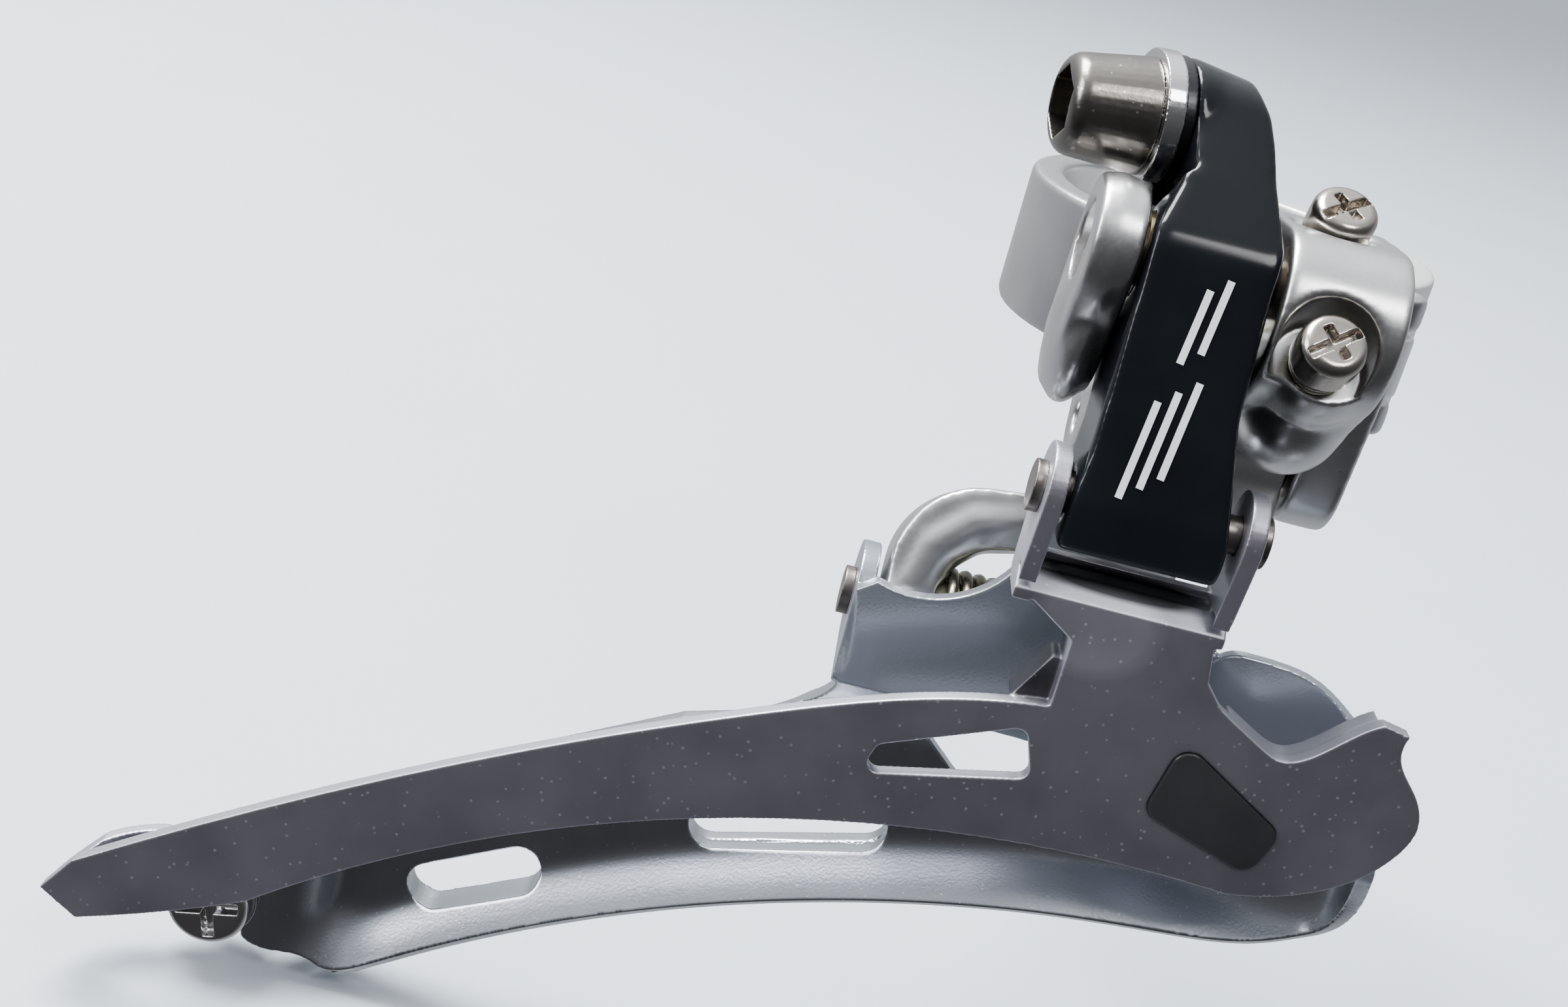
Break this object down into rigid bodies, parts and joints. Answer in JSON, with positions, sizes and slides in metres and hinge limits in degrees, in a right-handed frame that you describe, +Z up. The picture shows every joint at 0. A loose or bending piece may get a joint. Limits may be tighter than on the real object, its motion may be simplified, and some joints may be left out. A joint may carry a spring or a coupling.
{
  "type": "front derailleur",
  "caption": "Clamp-on front derailleur: a hinged seat-tube clamp, a sprung parallelogram linkage with a black lever arm and cable anchor, and a curved two-plate chain cage.",
  "frame": {"origin": "centre of the seat-tube clamp bore, halfway up the clamp band", "axes": "+X forward, +Y inboard towards the bicycle's middle plane, +Z up along the seat tube"},
  "size_m": [0.104, 0.0766, 0.093],
  "materials": {
    "body_metal": "satin polished forged aluminium",
    "clamp_metal": "pale satin aluminium",
    "arm_black": "gloss black paint over aluminium with a pale printed mark",
    "plate_dark": "satin dark plated steel with a fine sparkle",
    "plate_bright": "bright zinc-plated steel",
    "pad_plastic": "semi-gloss charcoal plastic",
    "bolt_dark": "dark nickel-plated steel",
    "washer_bright": "bright nickel-plated steel",
    "cable_steel": "dark plated steel",
    "screw_nickel": "nickel-plated steel",
    "rivet_steel": "dark rivet steel",
    "bush_bronze": "plain bronze bush",
    "spring_steel": "oiled spring steel",
    "sleeve_plastic": "ivory nylon sleeve"
  },
  "bodies": {
    "body": {"body": "body_metal", "clamp_hinge_pin": "rivet_steel", "outer_upper_pin": "rivet_steel", "inner_upper_pin": "rivet_steel", "limit_screw_springs": "spring_steel", "clamp_washer": "washer_bright"},
    "clamp_strap": {"clamp_band": "clamp_metal"},
    "clamp_bolt": {"clamp_bolt": "bolt_dark"},
    "limit_screw_low": {"limit_screw_low": "screw_nickel"},
    "limit_screw_high": {"limit_screw_high": "screw_nickel"},
    "outer_link": {"outer_link": "arm_black", "outer_link_bushes": "bush_bronze", "cable_plate": "cable_steel", "anchor_washer": "washer_bright"},
    "anchor_bolt": {"anchor_bolt": "bolt_dark"},
    "inner_link": {"inner_link": "body_metal", "inner_link_bushes": "bush_bronze", "return_spring": "spring_steel", "spring_sleeve": "sleeve_plastic"},
    "cage": {"cage_outer_plate": "plate_dark", "cage_inner_plate": "plate_bright", "chain_pad": "pad_plastic", "outer_lower_pin": "rivet_steel", "inner_lower_pin": "rivet_steel", "tail_washer": "washer_bright", "tail_nut": "screw_nickel"},
    "tail_screw": {"tail_screw": "screw_nickel"}
  },
  "joints": [
    {"name": "linkage_swing", "type": "hinge", "parent": "body", "child": "outer_link", "pos_m": [-0.008, -0.0377, 0.0082], "axis": [-1, 0, 0], "range_deg": [0, 36], "stiffness_Nm_per_rad": 0.3, "springref_deg": -34.38},
    {"name": "cage_pivot", "type": "hinge", "parent": "outer_link", "child": "cage", "pos_m": [-0.008, -0.0447, -0.009], "axis": [-1, 0, 0], "range_deg": [-36, 0]},
    {"name": "inner_link_swing", "type": "hinge", "parent": "body", "child": "inner_link", "pos_m": [-0.003, -0.0256, -0.0086], "axis": [-1, 0, 0], "range_deg": [0, 36]},
    {"name": "strap_hinge", "type": "hinge", "parent": "body", "child": "clamp_strap", "pos_m": [0.0126, -0.01501, 0], "axis": [0, 0, -1], "range_deg": [0, 90]},
    {"name": "clamp_bolt_spin", "type": "hinge", "parent": "body", "child": "clamp_bolt", "pos_m": [-0.00568, 0.0228, 0], "axis": [-0.9003, -0.4353, 0], "continuous": true},
    {"name": "limit_low_spin", "type": "hinge", "parent": "body", "child": "limit_screw_low", "pos_m": [0.0008, -0.0417, 0.0039], "axis": [0, -0.7314, 0.682], "continuous": true},
    {"name": "limit_high_spin", "type": "hinge", "parent": "body", "child": "limit_screw_high", "pos_m": [0.001, -0.0326, 0.0116], "axis": [0, -0.5299, 0.848], "continuous": true},
    {"name": "anchor_bolt_spin", "type": "hinge", "parent": "outer_link", "child": "anchor_bolt", "pos_m": [-0.0129, -0.031, 0.0172], "axis": [-0.9803, -0.1905, -0.0523], "continuous": true},
    {"name": "tail_screw_spin", "type": "hinge", "parent": "cage", "child": "tail_screw", "pos_m": [-0.0723, -0.0406, -0.064], "axis": [0, -1, 0], "continuous": true}
  ],
  "couplings": [
    {"joint": "cage_pivot", "follows": "linkage_swing", "ratio": -1},
    {"joint": "inner_link_swing", "follows": "linkage_swing", "ratio": 1}
  ]
}
